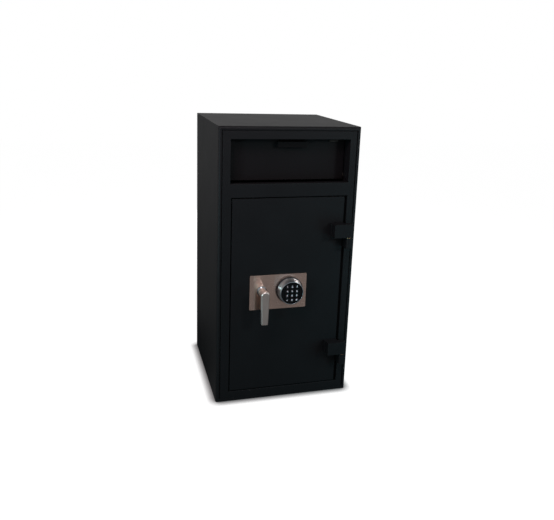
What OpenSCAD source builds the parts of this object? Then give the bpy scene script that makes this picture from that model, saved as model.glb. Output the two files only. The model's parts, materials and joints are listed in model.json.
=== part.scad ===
// Deposit safe: a tilting deposit drawer above a hinged door with a keypad lock.
// Millimetres. The origin is on the floor under the middle of the casing.
// +X is to the right seen from the front, +Y to the back, +Z up.
// A depth is counted from the plane of the front frame, positive into the safe.

/* [Casing] */
// Width of the casing
body_w = 500; // [480:5:600]
// Depth of the casing, without what stands proud of its front
body_d = 490; // [400:5:650]
// Height of the casing
body_h = 1000; // [940:5:1200]
// Thickness of the outer steel sheet
casing_t = 3; // [2:0.5:5]
// Thickness of the filling between the two skins
infill_t = 15; // [10:1:18]
// Thickness of the inner steel sheet
liner_t = 2; // [1:0.5:4]
// Width of the rounded rim around the front
rim_w = 12; // [11:1:17]
// Depth of the solid bar behind the rim
rim_bar_d = 15; // [12:1:20]
// Radius of the front edges at the sides and the top
rim_r = 10; // [3:1:10]
// Radius of the front edge at the floor
foot_r = 4; // [1:1:8]
// Width of the groove between the rim and the front frame
groove_w = 3.5; // [1:0.5:4]
// Width of the seat behind the edge of the front frame
seat_w = 14; // [10:1:14]

/* [Floor anchors] */
// Distance between the anchor holes, side to side
anchor_span_x = 300; // [200:10:360]
// Distance between the anchor holes, front to back
anchor_span_y = 270; // [160:10:320]
// Diameter of an anchor hole
anchor_d = 14; // [10:1:18]
// Outer diameter of an anchor sleeve
sleeve_d = 20; // [20:1:26]

/* [Front frame] */
// Thickness of the front frame
frame_t = 4; // [3:0.5:6]
// Thickness of the return flanges around the openings
flange_t = 3; // [2:0.5:4]
// Depth of the return flanges
flange_d = 27; // [22:1:27]
// From the casing's top down to the drawer opening
top_margin = 43; // [40:1:50]
// From the casing's left side to the drawer opening
hopper_margin_left = 42; // [40:1:50]
// From the casing's right side to the drawer opening
hopper_margin_right = 38; // [38:1:46]
// Height of the drawer opening
hopper_h = 150; // [140:1:156]
// Height of the rail between the two openings
rail_h = 47; // [44:1:60]
// From the casing's left side to the door opening
door_margin_left = 46; // [42:1:52]
// From the casing's right side to the door opening
door_margin_right = 38; // [38:1:42]
// From the floor to the door opening
door_margin_bottom = 38; // [36:1:50]
// Width of the stop strips at the left, the top and the bottom
stop_w = 6; // [5:0.5:8]
// Width of the stop strip at the hinges
stop_hinge_w = 14; // [12:1:15]
// Thickness of the stop strips
stop_t = 3; // [2:0.5:4]

/* [Deposit drawer] */
// Depth of the drawer's panel behind the front frame
recess_d = 48; // [40:1:52]
// Thickness of the panel, the end plates and the slide plate
drawer_t = 3; // [2:0.5:4]
// Gap around the panel
drawer_gap = 4; // [3:0.5:5]
// From the back of the panel to the pivot
pivot_back = 11; // [10:1:14]
// From the panel's lower edge up to the pivot
pivot_up = 13; // [12:1:18]
// Slope of the slide plate, down to the back
slide_slope = 15; // [12:1:18]
// Diameter of the pivot pins
pivot_d = 10; // [8:1:12]
// Outer diameter of the pivot bushes
pivot_bush_d = 16; // [15:1:18]
// Thickness of the housing's sheet
housing_t = 3; // [2:0.5:4]
// Depth of the housing behind the front frame
housing_d = 262; // [230:2:300]
// How far the housing reaches below the drawer opening
housing_drop = 62; // [50:1:64]
// Gap between the slide plate and the plate under it
baffle_gap = 17; // [14:1:20]
// How far the drawer tilts, in degrees
drawer_tilt = 75; // [60:1:78]
// Width of the finger pull
pull_w = 104; // [80:1:140]
// Height of the finger pull
pull_h = 21; // [18:1:26]
// How far the finger pull stands off the panel
pull_d = 17; // [14:1:20]
// Thickness of the finger pull's sheet
pull_t = 2.5; // [1.5:0.5:3]
// From the top of the opening down to the finger pull
pull_down = 11; // [8:1:20]
// From the middle of the casing to the middle of the finger pull
pull_x = 12; // [-40:1:40]
// Width of the tab at the panel's top
tab_w = 32; // [20:1:50]
// From the right end of the panel to the middle of the tab
tab_in = 41; // [25:1:60]

/* [Door] */
// Thickness of the door plate
plate_t = 10; // [6:1:12]
// How far the door plate lies behind the front frame
door_inset = 1; // [0:0.5:2]
// Gap at the left, the top and the bottom of the door
door_gap = 4; // [3:0.5:5]
// Gap at the hinge side of the door
hinge_gap = 10; // [9:0.5:11]
// Thickness of the chassis sheet behind the plate
chassis_t = 2.5; // [2:0.5:3]
// Depth of the chassis behind the plate
chassis_d = 51; // [48:1:56]
// From the door opening to the chassis, at the lock side
chassis_inset_left = 21; // [20:1:26]
// From the door opening to the chassis, at the hinge side
chassis_inset_right = 22; // [20:1:30]
// From the door opening to the chassis, at the top and the bottom
chassis_inset_z = 22; // [18:1:30]
// Width of the chassis' rear flange
chassis_flange_w = 12; // [10:1:16]
// Thickness of the rear cover
cover_t = 2; // [1:0.5:3]
// Shank diameter of the cover screws
cover_screw_d = 5; // [4:0.5:6]

/* [Hinges] */
// Height of the door's hinge blocks
block_h = 48; // [40:1:60]
// Thickness of the hinge blocks
block_t = 24; // [20:1:28]
// Width of the door's hinge blocks
block_w = 70; // [60:1:80]
// From the door opening's right edge to the right end of the blocks
block_over = 16; // [14:1:18]
// Width of the frame's hinge blocks
frame_block_w = 23.5; // [22:0.5:24]
// Height of the frame's hinge blocks
frame_block_h = 39.5; // [30:0.5:50]
// Radius of the frame block's front edge at the door
frame_block_r = 9; // [2:1:10]
// Thickness of the pads under the door's hinge blocks
pad_t = 16; // [14:1:20]
// How far the pads reach past the blocks on the door
pad_over = 4; // [0:1:8]
// Diameter of the hinge pins
hinge_pin_d = 12; // [8:1:12]
// Thickness of the thrust washers
washer_t = 1.5; // [1:0.5:3]
// From the door opening's bottom up to the lower hinge block
hinge_low_up = 127; // [60:1:200]
// From the door opening's top down to the upper hinge block
hinge_high_down = 97; // [60:1:200]

/* [Lever] */
// From the middle of the casing to the lever's axis
lever_x = -90; // [-95:1:-86]
// From the door opening's bottom up to the lever's axis
lever_up = 384; // [340:1:420]
// Diameter of the rosette at the lever's foot
rosette_d = 36; // [32:1:40]
// Thickness of the rosette
rosette_t = 7; // [4:1:10]
// Diameter of the lever's neck
neck_d = 29; // [20:1:29]
// Length of the lever below its axis
lever_l = 107; // [90:1:120]
// Width of the lever at its top
lever_top_w = 30; // [28:1:34]
// Width of the lever at its lower end
lever_end_w = 24; // [18:1:28]
// Thickness of the lever's bar
lever_t = 15; // [12:1:18]
// How far the lever's face stands off the front frame
lever_proud = 60; // [50:1:70]
// Bevel of the lever's front edges
lever_bevel = 2.5; // [1:0.5:3]
// Diameter of the lever's spindle
spindle_d = 12; // [10:1:14]
// Diameter of the spindle's bush in the door
bush_d = 20; // [18:1:24]

/* [Escutcheon and keypad] */
// Width of the escutcheon
plate_w = 208; // [190:1:230]
// Height of the escutcheon
plate_h = 129; // [110:1:150]
// Thickness of the escutcheon
escutcheon_t = 3; // [2:0.5:4]
// From the middle of the casing to the middle of the escutcheon
plate_x = -30; // [-36:1:-24]
// From the lever's axis down to the middle of the escutcheon
plate_down = 6; // [0:1:12]
// From the middle of the casing to the keypad's axis
keypad_x = 10; // [6:1:14]
// Diameter of the keypad's base
keypad_base_d = 98; // [94:1:104]
// Thickness of the keypad's base
keypad_base_t = 8; // [6:1:12]
// Diameter of the keypad's ring at the base
ring_back_d = 92; // [88:1:94]
// Diameter of the keypad's ring at the face
ring_front_d = 84; // [84:1:90]
// Diameter of the keypad's face
face_d = 80; // [80:0.5:82]
// Thickness of the keypad's face
face_t = 2.5; // [2:0.5:3]
// How far the keypad's face stands off the front frame
keypad_proud = 42; // [38:1:50]
// Distance between the keys, side to side
key_pitch_x = 17.2; // [15:0.1:17.2]
// Distance between the keys, top to bottom
key_pitch_z = 16.6; // [15:0.1:16.6]
// Width and height of a key
key_w = 12; // [10:0.5:12]
// How far a key stands off the face
key_proud = 1.2; // [1:0.1:2]
// Travel of a key
key_travel = 1; // [0.5:0.1:1]

/* [Bolt work] */
// Diameter of the locking bolts
bolt_d = 20; // [16:1:20]
// Depth of the bolts' axis behind the front frame
bolt_depth = 40; // [40:1:42]
// Travel of the locking bolts
bolt_throw = 30; // [24:1:30]
// From the chassis out to the tip of a drawn bolt
bolt_rest_out = 3; // [1:1:5]
// From the door opening's ends to the outer bolts
bolt_end_inset = 122; // [100:1:160]
// Width of the carriage's upright bar
carriage_w = 30; // [26:1:30]
// Thickness of the carriage
carriage_t = 8; // [6:1:10]
// Diameter of the crank pin
crank_pin_d = 8; // [6:1:10]
// Thickness of the crank arm
crank_t = 6; // [5:1:7]
// Diameter of the fixed bolts at the hinges
stud_d = 18; // [14:1:18]
// How far the fixed bolts reach past the door opening
stud_reach = 6; // [4:1:7]
// Depth of the fixed bolts' axis behind the front frame
stud_depth = 42; // [42:1:44]

/* [Lock] */
// Width of the lock case
lock_w = 62; // [56:1:70]
// Height of the lock case
lock_h = 82; // [76:1:90]
// Depth of the lock case
lock_d = 32; // [31:1:34]
// Wall of the lock case
lock_wall = 3; // [2:0.5:4]
// Width and thickness of the lock bolt
lock_bolt_w = 12; // [10:1:14]
// Travel of the lock bolt
lock_drop = 8; // [5:1:10]
// From the lock case down to the carriage's drive bar
drive_gap = 9; // [6:1:12]
// Height of the carriage's drive bar
drive_h = 27; // [22:1:32]

/* [Clearances] */
// Radial clearance of pins and shafts in their bores
fit = 0.05; // [0.02:0.01:0.1]
// Clearance between faces that move past each other
slide_gap = 0.3; // [0.2:0.05:0.5]

/* [Hidden] */
$fn = 64;

powder_black = "#26282c";
bare_steel = "#9a9da0";
zinc_steel = "#b9bcc0";
rose_bronze = "#b08f85";
bright_chrome = "#d8dadd";
satin_nickel = "#a9a5a2";
gloss_black = "#141517";
brass = "#b5893f";
rubber_black = "#1c1c1c";
infill_grey = "#8d8b86";

// A cut reaches this far past the face that it opens
over = 1;

front_y = -body_d / 2;
wall = casing_t + infill_t + liner_t;
seat_inset = rim_w + seat_w;

hopper_x0 = -body_w / 2 + hopper_margin_left;
hopper_x1 = body_w / 2 - hopper_margin_right;
hopper_z1 = body_h - top_margin;
hopper_z0 = hopper_z1 - hopper_h;

door_x0 = -body_w / 2 + door_margin_left;
door_x1 = body_w / 2 - door_margin_right;
door_z0 = door_margin_bottom;
door_z1 = hopper_z0 - rail_h;

plate_x0 = door_x0 + door_gap;
plate_x1 = door_x1 - hinge_gap;
plate_z0 = door_z0 + door_gap;
plate_z1 = door_z1 - door_gap;
plate_back = door_inset + plate_t;

panel_x0 = hopper_x0 + drawer_gap;
panel_x1 = hopper_x1 - drawer_gap;
panel_z0 = hopper_z0 + drawer_gap;
panel_z1 = hopper_z1 - drawer_gap;
panel_back = recess_d + drawer_t;
pivot_depth = panel_back + pivot_back;
pivot_z = panel_z0 + pivot_up;
sector_r = panel_z1 - pivot_z;
tab_x = panel_x1 - tab_in;

// The slide plate runs from the panel's lower edge to the sector's rim
slide_root = [panel_back - pivot_depth, panel_z0 - pivot_z];
slide_dir = [cos(slide_slope), -sin(slide_slope)];
slide_proj = slide_root * slide_dir;
slide_l = -slide_proj + sqrt(slide_proj * slide_proj - slide_root * slide_root + sector_r * sector_r);
slide_tip = slide_root + slide_l * slide_dir;
open_tip = [
    slide_tip[0] * cos(drawer_tilt) - slide_tip[1] * sin(drawer_tilt),
    slide_tip[0] * sin(drawer_tilt) + slide_tip[1] * cos(drawer_tilt)
];
baffle_clear = 3;
upper_baffle_depth = pivot_depth + open_tip[0] + baffle_clear;
upper_baffle_reach = sqrt(pow(sector_r + baffle_clear, 2) - pow(open_tip[0] + baffle_clear, 2));
upper_baffle_z0 = pivot_z + upper_baffle_reach;
lower_baffle_start = flange_d + baffle_clear;
lower_baffle_l = slide_l;
buffer_d = 16;
buffer_along = 0.72 * slide_l;
buffer_in = 55;
pivot_pin_head_t = 3;
pivot_pin_head_d = 16;
bush_flange_d = 22;

hinge_axis_x = door_x1 + block_over - block_t / 2;
hinge_axis_depth = door_inset - pad_t - block_t / 2;
block_x1 = door_x1 + block_over;
block_front = door_inset - pad_t - block_t;
block_zs = [door_z0 + hinge_low_up, door_z1 - hinge_high_down - block_h];
hinge_pin_rise = 0.75 * block_h;

lever_z = door_z0 + lever_up;
escutcheon_front = door_inset - escutcheon_t;
escutcheon_z = lever_z - plate_down;
escutcheon_r = 4;
rosette_front = escutcheon_front - rosette_t;
lever_back = -lever_proud + lever_t;
lever_top = 16;
lever_hub_r = 14;

keypad_back = escutcheon_front - keypad_base_t;
face_back = -keypad_proud + face_t;
key_hole_w = key_w + 2 * slide_gap;
key_r = 2;
key_flange_w = key_w + 1.6;
key_flange_r = 3;
key_flange_t = 1;
key_back = face_back + slide_gap + key_flange_t;
board_t = 1.6;
board_front = key_back + key_travel + slide_gap;
board_back = board_front + board_t;
ring_bore_d = face_d - 2;
board_d = ring_bore_d - 3;
post_d = 6;
post_r = board_d / 2 - 4;
battery_size = [48.5, 17.5, 26.5];
battery_up = 5;
lead_d = 4;
lead_hole_d = 8;
lead_down = 14;

chassis_x0 = door_x0 + chassis_inset_left;
chassis_x1 = door_x1 - chassis_inset_right;
chassis_z0 = door_z0 + chassis_inset_z;
chassis_z1 = door_z1 - chassis_inset_z;
chassis_back = plate_back + chassis_d;
cover_gap = 2;
cover_screw_head_d = 9;
cover_screw_head_t = 2.5;
cover_screw_rows = 4;

bolt_zs = [
    door_z0 + bolt_end_inset,
    (door_z0 + door_z1) / 2,
    door_z1 - bolt_end_inset
];
bolt_tip_x = chassis_x0 - bolt_rest_out;
bar_x1 = lever_x;
bar_x0 = bar_x1 - carriage_w;
bar_end = 22;
carriage_front = bolt_depth - carriage_t / 2;
guide_gap = 5;
guide_x0 = chassis_x0 + chassis_t;
guide_x1 = bar_x0 - bolt_throw - guide_gap;
guide_h = 36;
guide_back = bolt_depth + bolt_d / 2 + 7;

crank_r = bolt_throw / 2 / sin(45);
crank_pin_x = lever_x + bolt_throw / 2;
crank_pin_z = lever_z - bolt_throw / 2;
crank_hub_d = 26;
crank_back = carriage_front - 2;
crank_front = crank_back - crank_t;
slot_play = 0.9;
slot_end_play = 1.5;
slot_top = crank_pin_z + crank_pin_d / 2 + slot_end_play;
slot_bottom = lever_z - crank_r - crank_pin_d / 2 - slot_end_play;
slot_wall = 10;
drive_plate_over = 30;

lock_z0 = lever_z - lock_h / 2;
lock_z1 = lever_z + lock_h / 2;
lock_x0 = keypad_x - lock_w / 2;
lock_x1 = keypad_x + lock_w / 2;
lock_back = plate_back + lock_d;
lock_cover_t = 2.5;
lock_bolt_front = carriage_front - lock_bolt_w + 5;
lock_bolt_l = 43;
drive_top = lock_z0 - drive_gap;
drive_bottom = drive_top - drive_h;
ramp_slope = lock_drop / bolt_throw;
ramp_x0 = keypad_x - lock_bolt_w / 2;
ramp_x1 = keypad_x + lock_bolt_w / 2 + bolt_throw + 6;
lock_screw_d = 6;
lock_screw_head_d = 10;
lock_screw_head_t = 4;
lock_screw_inset = 8;
lock_screw_grip = 6;

// Helpers

// Puts a shape drawn with depths into the safe's frame
module in_safe() {
    translate([0, front_y, 0]) children();
}

// Box from two corners
module block(low, high) {
    translate(low) cube(high - low);
}

// An outline drawn in x and z, as a plate between two depths
module upright(front, back) {
    translate([0, back, 0]) rotate([90, 0, 0]) linear_extrude(back - front) children();
}

// An outline drawn in depth and z, as a plate between two x
module sideways(x0, x1) {
    translate([x0, 0, 0]) rotate([90, 0, 90]) linear_extrude(x1 - x0) children();
}

// Round bar along x
module bar_x(x0, x1, depth, z, d) {
    translate([x0, depth, z]) rotate([0, 90, 0]) cylinder(d = d, h = x1 - x0);
}

// Round bar along the depth
module bar_y(x, depth0, depth1, z, d) {
    translate([x, depth0, z]) rotate([-90, 0, 0]) cylinder(d = d, h = depth1 - depth0);
}

// Round bar upright
module bar_z(x, depth, z0, z1, d) {
    translate([x, depth, z0]) cylinder(d = d, h = z1 - z0);
}

// Rectangle with round corners, about the origin
module round_rect(w, h, r) {
    square([w - 2 * r, h], center = true);
    square([w, h - 2 * r], center = true);
    for (sx = [-1, 1], sz = [-1, 1])
        translate([sx * (w / 2 - r), sz * (h / 2 - r)]) circle(r = r);
}

// What rounding takes off an edge that lies along z, with the solid at +x and +y
module edge_waste(length, r) {
    difference() {
        translate([-over, -over, 0]) cube([r + over, r + over, length]);
        translate([r, r, -over]) cylinder(r = r, h = length + 2 * over);
    }
}

module for_anchors() {
    for (sx = [-1, 1], sy = [-1, 1])
        translate([sx * anchor_span_x / 2, sy * anchor_span_y / 2, 0]) children();
}

module for_hinges() {
    for (z = block_zs) translate([0, 0, z]) children();
}

// Casing

module outer_casing() color(powder_black) difference() {
    in_safe() difference() {
        block([-body_w / 2, 0, 0], [body_w / 2, body_d, body_h]);
        for (side = [0, 1]) mirror([side, 0, 0])
            translate([-body_w / 2, 0, -over]) edge_waste(body_h + 2 * over, rim_r);
        translate([-body_w / 2 - over, 0, body_h]) mirror([0, 0, 1]) rotate([90, 0, 90])
            edge_waste(body_w + 2 * over, rim_r);
        translate([-body_w / 2 - over, 0, 0]) rotate([90, 0, 90])
            edge_waste(body_w + 2 * over, foot_r);
        block(
            [-body_w / 2 + casing_t, rim_bar_d, casing_t],
            [body_w / 2 - casing_t, body_d - casing_t, body_h - casing_t]
        );
        block(
            [-body_w / 2 + rim_w, -over, rim_w],
            [body_w / 2 - rim_w, frame_t, body_h - rim_w]
        );
        block(
            [-body_w / 2 + seat_inset, -over, seat_inset],
            [body_w / 2 - seat_inset, rim_bar_d + over, body_h - seat_inset]
        );
    }
    for_anchors() translate([0, 0, -over]) cylinder(d = anchor_d, h = casing_t + 2 * over);
}

module wall_infill() color(infill_grey) difference() {
    in_safe() difference() {
        block(
            [-body_w / 2 + casing_t, rim_bar_d, casing_t],
            [body_w / 2 - casing_t, body_d - casing_t, body_h - casing_t]
        );
        block(
            [-body_w / 2 + wall - liner_t, rim_bar_d - over, wall - liner_t],
            [body_w / 2 - wall + liner_t, body_d - wall + liner_t, body_h - wall + liner_t]
        );
    }
    for_anchors() cylinder(d = sleeve_d, h = wall);
}

module inner_liner() color(powder_black) difference() {
    in_safe() difference() {
        block(
            [-body_w / 2 + wall - liner_t, rim_bar_d, wall - liner_t],
            [body_w / 2 - wall + liner_t, body_d - wall + liner_t, body_h - wall + liner_t]
        );
        block(
            [-body_w / 2 + wall, rim_bar_d - over, wall],
            [body_w / 2 - wall, body_d - wall, body_h - wall]
        );
    }
    for_anchors() cylinder(d = anchor_d, h = wall + over);
}

module anchor_sleeves() color(bare_steel) for_anchors() translate([0, 0, casing_t]) difference() {
    cylinder(d = sleeve_d, h = infill_t);
    translate([0, 0, -over]) cylinder(d = anchor_d, h = infill_t + 2 * over);
}

// Return flange around an opening
module flange(x0, x1, z0, z1) {
    block([x0 - flange_t, 0, z0 - flange_t], [x1 + flange_t, flange_d, z1 + flange_t]);
}

module front_frame() color(powder_black) in_safe() difference() {
    union() {
        block(
            [-body_w / 2 + rim_w + groove_w, 0, rim_w],
            [body_w / 2 - rim_w - groove_w, frame_t, body_h - rim_w - groove_w]
        );
        flange(hopper_x0, hopper_x1, hopper_z0, hopper_z1);
        flange(door_x0, door_x1, door_z0, door_z1);
    }
    block([hopper_x0, -over, hopper_z0], [hopper_x1, flange_d + over, hopper_z1]);
    block([door_x0, -over, door_z0], [door_x1, flange_d + over, door_z1]);
}

module door_stop_frame() color(powder_black) in_safe() difference() {
    stop_front = plate_back + slide_gap;
    block([door_x0, stop_front, door_z0], [door_x1, stop_front + stop_t, door_z1]);
    block(
        [door_x0 + stop_w, stop_front - over, door_z0 + stop_w],
        [door_x1 - stop_hinge_w, stop_front + stop_t + over, door_z1 - stop_w]
    );
}

module frame_hinge_blocks() color(powder_black) in_safe() for_hinges() difference() {
    low = -washer_t - frame_block_h;
    block([block_x1 - frame_block_w, block_front, low], [block_x1, 0, -washer_t]);
    translate([block_x1 - frame_block_w, block_front, low - over])
        edge_waste(frame_block_h + 2 * over, frame_block_r);
    bar_z(hinge_axis_x, hinge_axis_depth, low - over, over, hinge_pin_d + 2 * fit);
}

module hinge_pins() color(zinc_steel) in_safe() for_hinges()
    bar_z(hinge_axis_x, hinge_axis_depth, -washer_t - frame_block_h, hinge_pin_rise, hinge_pin_d);

module hinge_washers() color(brass) in_safe() for_hinges() difference() {
    bar_z(hinge_axis_x, hinge_axis_depth, -washer_t, 0, block_t);
    bar_z(hinge_axis_x, hinge_axis_depth, -washer_t - over, over, hinge_pin_d + 2 * fit);
}

// Deposit drawer's housing

module hopper_housing() color(powder_black) in_safe() difference() {
    housing_z0 = hopper_z0 - housing_drop;
    block(
        [hopper_x0 - housing_t, flange_d, housing_z0],
        [hopper_x1 + housing_t, housing_d, hopper_z1 + housing_t]
    );
    block(
        [hopper_x0, flange_d - over, housing_z0 - over],
        [hopper_x1, housing_d - housing_t, hopper_z1]
    );
    bar_x(
        hopper_x0 - housing_t - over, hopper_x1 + housing_t + over,
        pivot_depth, pivot_z, pivot_d + 2 * fit
    );
}

module upper_baffle() color(powder_black) in_safe()
    block(
        [hopper_x0, upper_baffle_depth, upper_baffle_z0],
        [hopper_x1, upper_baffle_depth + housing_t, hopper_z1]
    );

// Frame that lies along the underside of the slide plate, x across and z away from it
module under_slide(depth) {
    translate([0, depth, panel_z0 - (depth - panel_back) * tan(slide_slope)])
        rotate([-slide_slope, 0, 0]) children();
}

module lower_baffle() color(powder_black) in_safe() under_slide(lower_baffle_start)
    block(
        [hopper_x0, 0, -baffle_gap - housing_t],
        [hopper_x1, lower_baffle_l, -baffle_gap]
    );

module hopper_pivot_pins() color(zinc_steel) in_safe() {
    pin_in = drawer_gap + drawer_t + 1;
    bar_x(hopper_x0 - housing_t, hopper_x0 + pin_in, pivot_depth, pivot_z, pivot_d);
    bar_x(
        hopper_x0 - housing_t - pivot_pin_head_t, hopper_x0 - housing_t,
        pivot_depth, pivot_z, pivot_pin_head_d
    );
    bar_x(hopper_x1 - pin_in, hopper_x1 + housing_t, pivot_depth, pivot_z, pivot_d);
    bar_x(
        hopper_x1 + housing_t, hopper_x1 + housing_t + pivot_pin_head_t,
        pivot_depth, pivot_z, pivot_pin_head_d
    );
}

module hopper_buffers() color(rubber_black) in_safe() under_slide(panel_back)
    for (x = [panel_x0 + buffer_in, panel_x1 - buffer_in])
        translate([x, buffer_along, -baffle_gap])
            cylinder(d = buffer_d, h = baffle_gap - slide_gap);

// Deposit drawer

module drawer_panel() color(powder_black) in_safe()
    block([panel_x0, recess_d, panel_z0], [panel_x1, panel_back, panel_z1]);

module drawer_pull() color(powder_black) in_safe() {
    top = hopper_z1 - pull_down;
    front = recess_d - pull_d;
    sideways(pull_x - pull_w / 2, pull_x + pull_w / 2) difference() {
        union() {
            translate([front + pull_t, top - pull_h]) square([pull_d - pull_t, pull_h]);
            translate([front, top - pull_h]) square([pull_t, pull_h - pull_t]);
            translate([front + pull_t, top - pull_t]) circle(r = pull_t);
        }
        translate([front + pull_t, top - pull_h - over])
            square([pull_d - pull_t + over, pull_h - pull_t + over]);
    }
}

module drawer_tab() color(powder_black) in_safe() {
    tab_h = 8;
    tab_t = 1.5;
    tab_z1 = panel_z1 - 2;
    block(
        [tab_x - tab_w / 2, recess_d - tab_t, tab_z1 - tab_h],
        [tab_x + tab_w / 2, recess_d, tab_z1]
    );
}

// Sector between the panel and the slide plate, drawn about the pivot
module sector_outline() {
    far = 2 * sector_r;
    intersection() {
        circle(r = sector_r, $fn = 128);
        polygon([slide_root, slide_root + far * slide_dir, [far, far], [slide_root[0], far]]);
    }
    circle(d = pivot_bush_d + 8);
}

module drawer_end_plates() color(powder_black) in_safe() difference() {
    for (x = [panel_x0, panel_x1 - drawer_t])
        translate([0, pivot_depth, pivot_z]) sideways(x, x + drawer_t) difference() {
            sector_outline();
            translate([slide_root[0] - sector_r, -sector_r]) square([sector_r, 2 * sector_r]);
        }
    bar_x(panel_x0 - over, panel_x1 + over, pivot_depth, pivot_z, pivot_bush_d);
}

module drawer_slide_plate() color(powder_black) in_safe()
    translate([0, pivot_depth + slide_root[0], pivot_z + slide_root[1]])
        rotate([-slide_slope, 0, 0]) difference() {
            block([panel_x0 + drawer_t, 0, 0], [panel_x1 - drawer_t, slide_l, drawer_t]);
            rotate([slide_slope, 0, 0])
                block([panel_x0, -over * 4, -over], [panel_x1, 0, 4 * drawer_t]);
        }

module drawer_bushes() color(brass) in_safe() difference() {
    flange_w = drawer_gap - 0.5;
    union() {
        bar_x(panel_x0, panel_x0 + drawer_t, pivot_depth, pivot_z, pivot_bush_d);
        bar_x(panel_x0 - flange_w, panel_x0, pivot_depth, pivot_z, bush_flange_d);
        bar_x(panel_x1 - drawer_t, panel_x1, pivot_depth, pivot_z, pivot_bush_d);
        bar_x(panel_x1, panel_x1 + flange_w, pivot_depth, pivot_z, bush_flange_d);
    }
    bar_x(hopper_x0 - over, hopper_x1 + over, pivot_depth, pivot_z, pivot_d + 2 * fit);
}

// Door

module for_lock_screws() {
    for (x = [lock_x0 + lock_screw_inset, lock_x1 - lock_screw_inset])
        for (z = [lock_z0 + lock_screw_inset, lock_z1 - lock_screw_inset])
            translate([x, 0, z]) children();
}

module door_plate() color(powder_black) in_safe() difference() {
    block([plate_x0, door_inset, plate_z0], [plate_x1, plate_back, plate_z1]);
    bar_y(lever_x, door_inset - over, plate_back + over, lever_z, bush_d);
    bar_y(keypad_x, door_inset - over, plate_back + over, lever_z - lead_down, lead_hole_d);
    for_lock_screws()
        bar_y(0, plate_back - lock_screw_grip, plate_back + over, 0, lock_screw_d + 2 * fit);
}

module door_hinge_pads() color(powder_black) in_safe() for_hinges()
    block(
        [block_x1 - block_w - pad_over, door_inset - pad_t, 0],
        [plate_x1, door_inset, block_h]
    );

module door_hinge_blocks() color(powder_black) in_safe() for_hinges() difference() {
    block([block_x1 - block_w, block_front, 0], [block_x1, block_front + block_t, block_h]);
    bar_z(
        hinge_axis_x, hinge_axis_depth, -over, hinge_pin_rise + over,
        hinge_pin_d + 2 * fit
    );
}

module escutcheon() color(rose_bronze) in_safe() difference() {
    upright(escutcheon_front, door_inset)
        translate([plate_x, escutcheon_z]) round_rect(plate_w, plate_h, escutcheon_r);
    bar_y(lever_x, escutcheon_front - over, door_inset + over, lever_z, spindle_d + 2);
    bar_y(keypad_x, escutcheon_front - over, door_inset + over, lever_z - lead_down, lead_hole_d);
}

module lever_rosette() color(bright_chrome) in_safe() difference() {
    bar_y(lever_x, rosette_front, escutcheon_front, lever_z, rosette_d);
    bar_y(lever_x, rosette_front - over, escutcheon_front + over, lever_z, spindle_d + 2);
}

module spindle_bush() color(brass) in_safe() difference() {
    union() {
        bar_y(lever_x, door_inset, plate_back, lever_z, bush_d);
        bar_y(lever_x, plate_back, crank_front - slide_gap, lever_z, bush_d + 4);
    }
    bar_y(lever_x, door_inset - over, crank_front + over, lever_z, spindle_d + 2 * fit);
}

// Turned shape about an axis that points out of the door, drawn as radius and height
module turned(x, depth, z) {
    translate([x, depth, z]) rotate([90, 0, 0]) rotate_extrude($fn = 96) children();
}

module keypad_base() color(gloss_black) in_safe() difference() {
    union() {
        bar_y(keypad_x, keypad_back, escutcheon_front, lever_z, keypad_base_d);
        for (angle = [30, 150, 270])
            bar_y(
                keypad_x + post_r * cos(angle), board_back, keypad_back + over,
                lever_z + post_r * sin(angle), post_d
            );
    }
    bar_y(keypad_x, keypad_back - over, escutcheon_front + over, lever_z - lead_down, lead_hole_d);
}

module keypad_ring() color(bright_chrome) in_safe() turned(keypad_x, keypad_back, lever_z) {
    ring_h = keypad_back + keypad_proud;
    polygon([
        [ring_bore_d / 2, 0],
        [ring_back_d / 2, 0],
        [ring_front_d / 2, ring_h],
        [face_d / 2 + fit, ring_h],
        [face_d / 2 + fit, ring_h - face_t],
        [ring_bore_d / 2, ring_h - face_t]
    ]);
}

// Places a key's outline, with the first row at the top
module at_key(column, row) {
    translate([keypad_x + (column - 1) * key_pitch_x, lever_z + (1.5 - row) * key_pitch_z])
        children();
}

module keypad_face() color(gloss_black) in_safe() difference() {
    bar_y(keypad_x, -keypad_proud, face_back, lever_z, face_d);
    upright(-keypad_proud - over, face_back + over)
        for (column = [0:2], row = [0:3]) at_key(column, row)
            round_rect(key_hole_w, key_hole_w, key_r + slide_gap);
}

module keypad_board() color("#1f5a3a") in_safe() difference() {
    bar_y(keypad_x, board_front, board_back, lever_z, board_d);
    bar_y(keypad_x, board_front - over, board_back + over, lever_z - lead_down, lead_d + 2 * fit);
}

module keypad_battery() color("#3a3f46") in_safe()
    translate([
        keypad_x - battery_size[0] / 2,
        keypad_back - battery_size[1],
        lever_z + battery_up - battery_size[2] / 2
    ]) cube(battery_size);

module lock_lead() color(rubber_black) in_safe()
    bar_y(keypad_x, board_front, plate_back + lock_wall + 3, lever_z - lead_down, lead_d);

module door_chassis() color(zinc_steel) in_safe() difference() {
    block([chassis_x0, plate_back, chassis_z0], [chassis_x1, chassis_back, chassis_z1]);
    block(
        [chassis_x0 + chassis_t, plate_back - over, chassis_z0 + chassis_t],
        [chassis_x1 - chassis_t, chassis_back - chassis_t, chassis_z1 - chassis_t]
    );
    block(
        [chassis_x0 + chassis_flange_w, plate_back, chassis_z0 + chassis_flange_w],
        [chassis_x1 - chassis_flange_w, chassis_back + over, chassis_z1 - chassis_flange_w]
    );
    for (z = bolt_zs)
        bar_x(chassis_x0 - over, chassis_x0 + chassis_t + over, bolt_depth, z, bolt_d + 2 * slide_gap);
    for_cover_screws()
        bar_y(0, chassis_back - chassis_t - over, chassis_back + over, 0, cover_screw_d + 2 * fit);
}

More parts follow.
